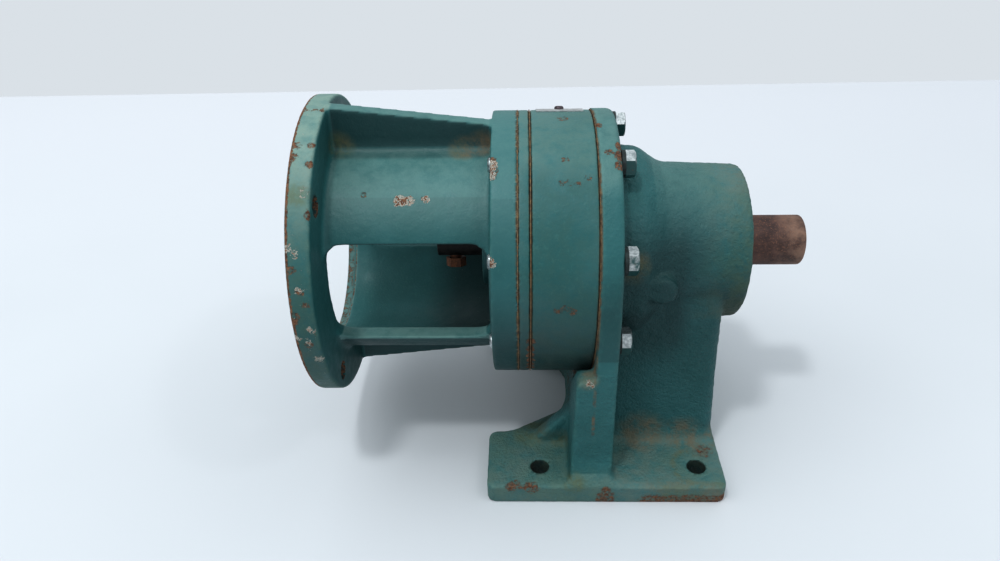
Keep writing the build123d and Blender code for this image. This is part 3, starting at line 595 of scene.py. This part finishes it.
RIB_CORNERS = [(-153.5, 88.0, 12.0), (-75.0, 89.0, 12.0), (-86.0, 84.0, 9.0)]


def adapter_rounds(x, y, z, r):
    between = (x > X_FLANGE_BACK) & (x < X_REAR_FLANGE)
    rounds = np.full(len(x), 6)
    rounds[(x > -150.0) & between & (r > 55.0) & (r < 70.0) & (np.abs(y) < 20.0)] = 24   # foot of each rib
    rounds[(x < X_FLANGE_BACK) & (r > 64.0)] = 2
    rounds[x > X_REAR_FLANGE] = 2
    rounds[(np.abs(y) < 5.5) & (r > 66.0) & between] = 2                                 # edge of each rib
    rounds[in_bores(y, z, MOTOR_BOLTS, 8.0) & (x < X_FLANGE_BACK)] = 1
    return rounds


def adapter_wobble(x, y, z, r):
    return np.where((x < X_FLANGE_BACK) | (x > X_REAR_FLANGE) | (r < 54.0), 0.02, 0.045)


def adapter_marks(x, y, z, r, points, facing):
    barrel = (x > X_FLANGE_BACK) & (x < X_REAR_FLANGE)
    upper = barrel & (z > AXIS_Z)
    rim = fade(r, 83.2, 84.2) * (x < X_FLANGE_BACK)
    edge_line = fade(np.abs(x + 168.6), 1.8, 0.6)
    bolts = in_bores(y, z, MOTOR_BOLTS, 6.0) & (x < -157.0)
    pilot = ((np.abs(r - R_PILOT) < 1.0) & (x < -162.0)) | ((np.abs(r - R_BORE) < 0.8) & (x < -161.5))
    sill = barrel & (y < -40.0) & (np.abs(z - 91.0) < 2.5)

    rusty = strongest(
        rim * (0.32 + edge_line * 0.38),
        pilot * 0.52,
        bolts * 0.55,
        near_skin(points, R_FLANGE, RIM_STAINS) * 0.57,
        near_skin(points, R_BARREL, BARREL_RUST) * 0.56,
        near_skin(points, R_RING, REAR_RUST) * 0.57,
    )
    bare = strongest(
        rim * 0.40,
        near_skin(points, R_FLANGE, RIM_FLAKES) * 0.575,
        near_skin(points, R_BARREL, BARREL_CHIPS) * 0.64,
        near_skin(points, R_RING, REAR_CHIPS) * 0.62,
        ((r > 51.0) & (r < 53.5) & barrel & (z < AXIS_Z)) * 0.36,
        pilot * 0.30,
    )
    dusty = strongest(
        rim * 0.30,
        near_skin(points, 61.0, RIB_CORNERS) * 0.9,
        near_skin(points, R_FLANGE, RIM_DUST) * 0.8,
    )
    # mostly painted light: the flange rim paler towards its top, faces that look up paler on the barrel and
    # rear flange, and the window sill lit; the pilot paler too
    pale = strongest(
        rim * np.maximum(fade(z, 140.0, 196.0), 0.05) ** 1.7,
        fade(facing, 0.4, 0.9, 0.2) * (x > X_REAR_FLANGE),
        np.clip((facing - 0.55) * 1.2, 0.0, 0.34) * upper,
        sill * 0.45,
        pilot * 0.4,
    )
    # painted shade: faces turning from the light, the bore darker towards the rear, the barrel beside each
    # rib's foot, the rib sides, the barrel's sides, the rear flange below its top and the motor bolt holes;
    # none on the window sill
    inside = (r < 54.5) & (x > -163.0)
    rib_side = barrel & (r > 61.0) & (np.abs(y) < 7.0) & (facing < 0.5)
    shade_layers = strongest(
        shade_below(facing) * np.where(x < X_FLANGE_BACK, 0.5, 0.85),
        fade(x, -116.0, -93.9, 0.85) * inside,
        fade(np.abs(y), 13.0, 10.5, 0.5) * upper * (r < 64.0),
        rib_side * 0.85,
        (barrel & (r > 58.0) & (facing < 0.8)) * 0.17,
        ((x > X_REAR_FLANGE) & (z < 175.0)) * 0.12,
    )
    down = strongest(shade_layers * ~sill, bolts * 0.9)
    cast = np.where(barrel, 0.12, 0.05)
    return {"cast": cast, "down": down, "dusty": dusty, "rusty": rusty, "bare": bare, "pale": pale}


adapter_rims = [((x, y, z), ALONG_SHAFT, R_MOTOR_BOLT_HOLE) for y, z in MOTOR_BOLTS for x in (X_FACE, -156.5)]
adapter_rims += [((X_ADAPTER_END, 0.0, AXIS_Z), ALONG_SHAFT, R_RING)]
casting("motor_adapter", 1.1, adapter_rounds, adapter_wobble, adapter_marks, adapter_rims)


# ---- ring gear housing and end shield ---------------------------------------
LOW_STREAK = [(-50.4, turn, 4.5) for turn in range(-38, -8, 5)]
RING_CHIPS = [(-33.0, 64.2, 4.0), (-33.4, 3.8, 5.0), (-29.5, 3.0, 4.5), (-37.5, 3.0, 4.0), (-31.0, 54.0, 4.0),
              (-35.0, 54.0, 3.5), (-27.0, 53.0, 3.5), (-22.0, 56.0, 3.6), (-33.0, 92.0, 6.0)]


def ring_rounds(x, y, z, r):
    return np.full(len(x), 2)


def ring_wobble(x, y, z, r):
    return np.full(len(x), 0.012)


def ring_marks(x, y, z, r, points, facing):
    skin = r > 73.0
    rusty = strongest(
        near_skin(points, R_RING, LOW_STREAK) * 0.58,
        near_skin(points, R_RING, RING_CHIPS) * 0.54,
    )
    # painted shade on faces that turn from the light and over the lower half of the ring; painted light on
    # its top
    down = strongest(shade_below(facing) * 0.8, skin * fade(z, 118.0, 88.0))
    pale = skin * fade(z, 180.0, 187.5, 0.25)
    return {"cast": skin * 0.10, "down": down, "dusty": skin * 0.15, "rusty": rusty, "bare": skin * 0.22,
            "pale": pale}


for ring in ("ring_gear_housing", "end_shield"):
    casting(ring, 0.9, ring_rounds, ring_wobble, ring_marks, [])


# ---- floor ------------------------------------------------------------------
FLOOR_HALF, FLOOR_NEAR = 4.0, -3.0
FAR_EDGE, FAR_SLOPE = 0.566, 0.0165        # the floor's far edge at x = 0, and its slope


def floor_material():
    """Pale sheet, with painted light making it a little brighter towards its far edge."""
    material, tree, shader, place = new_material("pale_floor")
    cloud = span(tree, noise(tree, place, 3.0, 3.0), 0.3, 0.7)
    tone = blend(tree, cloud, (0.60, 0.632, 0.662), (0.62, 0.652, 0.682))
    # painted light: the sheet brightens towards its far edge
    far_light = span(tree, split(tree, place)[1], 0.05, 0.55)
    tone = blend(tree, far_light, tone, (0.645, 0.670, 0.705))
    tree.links.new(tone, shader.inputs["Base Color"])
    tree.links.new(relief(tree, noise(tree, place, 1200.0, 2.0), 0.00003), shader.inputs["Normal"])
    shader.inputs["Roughness"].default_value = 0.55
    shader.inputs["Specular IOR Level"].default_value = 0.25
    return material


far_rise = FAR_SLOPE * FLOOR_HALF
floor_corners = [(-FLOOR_HALF, FLOOR_NEAR, 0.0), (FLOOR_HALF, FLOOR_NEAR, 0.0),
                 (FLOOR_HALF, FAR_EDGE + far_rise, 0.0), (-FLOOR_HALF, FAR_EDGE - far_rise, 0.0)]
floor_mesh = bpy.data.meshes.new("floor")
floor_mesh.from_pydata(floor_corners, [], [(0, 1, 2, 3)])
floor_mesh.materials.append(floor_material())
floor = bpy.data.objects.new("floor", floor_mesh)
scene.collection.objects.link(floor)


# ---- light ------------------------------------------------------------------
# light falls mostly from above; the studio wall behind the floor is seen as one pale tone
WALL = (0.752, 0.796, 0.836, 1.0)
SKY = (0.93, 0.97, 1.0, 1.0)
SKY_LOW, SKY_HIGH = 0.68, 1.18
LAMP_AIM = Vector((-0.03, 0.0, 0.12))

world = bpy.data.worlds.new("studio")
world.use_nodes = True
sky = world.node_tree
wall_tone = sky.nodes["Background"]
wall_tone.inputs["Color"].default_value = WALL
height = split(sky, sky.nodes.new("ShaderNodeTexCoord").outputs["Generated"])[2]
strength = span(sky, height, 0.0, 1.0, SKY_LOW, SKY_HIGH)
glow = put(sky, "ShaderNodeBackground", {"Color": SKY, "Strength": strength})
seen = sky.nodes.new("ShaderNodeLightPath").outputs["Is Camera Ray"]
both = put(sky, "ShaderNodeMixShader", {0: seen, 1: glow.outputs[0], 2: wall_tone.outputs[0]})
sky.links.new(both.outputs[0], sky.nodes["World Output"].inputs[0])
scene.world = world


def lamp(name, way, distance, size, power):
    """Square area light seen from the gearbox in the direction way, aimed at it."""
    data = bpy.data.lights.new(name, "AREA")
    data.shape = "SQUARE"
    data.size = size
    data.energy = power
    made = bpy.data.objects.new(name, data)
    toward = Vector(way).normalized()
    made.location = LAMP_AIM + toward * distance
    made.rotation_mode = "QUATERNION"
    made.rotation_quaternion = toward.to_track_quat("Z", "Y")
    scene.collection.objects.link(made)


lamp("key", (-0.24, -0.30, 1.0), 2.2, 0.22, 14.5)
lamp("second", (0.59, -0.21, 1.0), 2.4, 0.2, 3.0)
lamp("left", (-0.75, -0.15, 1.0), 2.2, 1.2, 8.0)
